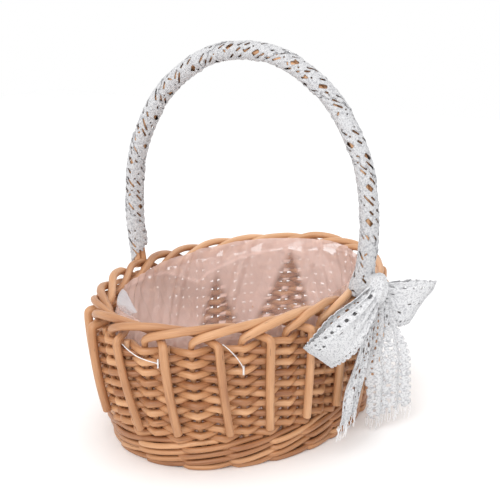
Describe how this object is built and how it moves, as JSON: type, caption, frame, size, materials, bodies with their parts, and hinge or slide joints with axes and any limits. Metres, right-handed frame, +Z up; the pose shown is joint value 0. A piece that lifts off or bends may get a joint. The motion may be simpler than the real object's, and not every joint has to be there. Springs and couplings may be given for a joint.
{
  "type": "flower girl basket",
  "caption": "Oval woven willow basket with a fixed hoop handle wrapped in lace, a lace bow at one side and a clear film liner.",
  "frame": {"origin": "centre of the oval that the foot of the basket stands on, at the height of that surface", "axes": "+Z up, X along the long axis of the oval mouth, the bow is on the -Y side"},
  "size_m": [0.2888, 0.2398, 0.2785],
  "materials": {
    "willow": "peeled honey-coloured willow, satin",
    "willow_weave": "thin peeled willow weavers, satin",
    "lace": "white cotton crochet lace, matt",
    "film": "thin clear plastic film, glossy and creased",
    "nylon": "fine clear nylon pin"
  },
  "bodies": {
    "root": {"base_cross_sticks": "willow", "base_long_sticks": "willow", "base_weave": "willow_weave", "foot_wale_1": "willow", "foot_wale_2": "willow", "foot_wale_3": "willow", "foot_wale_4": "willow", "weaver_row_1": "willow_weave", "weaver_row_2": "willow_weave", "weaver_row_3": "willow_weave", "weaver_row_4": "willow_weave", "weaver_row_5": "willow_weave", "weaver_row_6": "willow_weave", "weaver_row_7": "willow_weave", "weaver_row_8": "willow_weave", "weaver_row_9": "willow_weave", "weaver_row_10": "willow_weave", "weaver_row_11": "willow_weave", "weaver_row_12": "willow_weave", "weaver_row_13": "willow_weave", "weaver_row_14": "willow_weave", "weaver_row_15": "willow_weave", "weaver_row_16": "willow_weave", "weaver_row_17": "willow_weave", "weaver_row_18": "willow_weave", "by_stakes": "willow", "border_stakes": "willow", "handle_core_rod": "willow", "handle_rod_outer": "willow", "handle_rod_left": "willow", "handle_rod_right": "willow", "handle_lace": "lace", "bow_knot": "lace", "bow_loop_left": "lace", "bow_loop_right": "lace", "bow_tail_left": "lace", "bow_tail_right": "lace", "liner": "film", "tag_pins": "nylon"}
  },
  "joints": []
}
